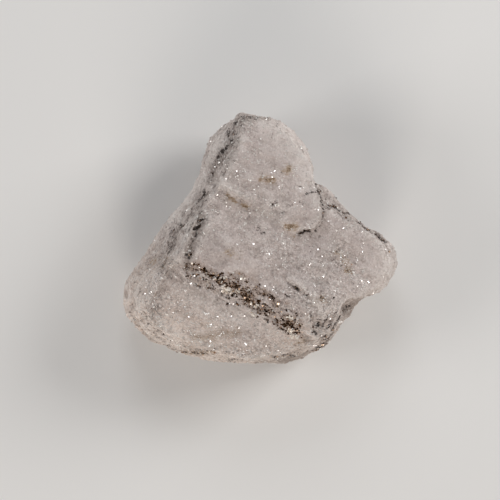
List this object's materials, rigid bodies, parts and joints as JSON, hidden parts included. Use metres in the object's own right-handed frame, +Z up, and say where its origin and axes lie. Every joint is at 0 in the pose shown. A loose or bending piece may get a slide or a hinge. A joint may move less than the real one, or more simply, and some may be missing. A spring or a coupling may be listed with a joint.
{
  "type": "pyrite specimen in granular stone",
  "caption": "Hand-sized broken piece of pale granular stone with a diagonal band of small pyrite crystals across its upper face; it lies on a flat underside.",
  "frame": {"origin": "middle of the bounding box, on the floor that the stone lies on", "axes": "+Z up out of the face with the pyrite, +X towards the pointed lobe, +Y towards the tall rounded lobe"},
  "size_m": [0.0619, 0.0567, 0.0247],
  "materials": {
    "stone": "sugary, matt with fine glints",
    "pyrite": "small bright and tarnished crystal faces"
  },
  "bodies": {
    "root": {"rock_matrix": "stone", "pyrite_band": "pyrite"}
  },
  "joints": []
}
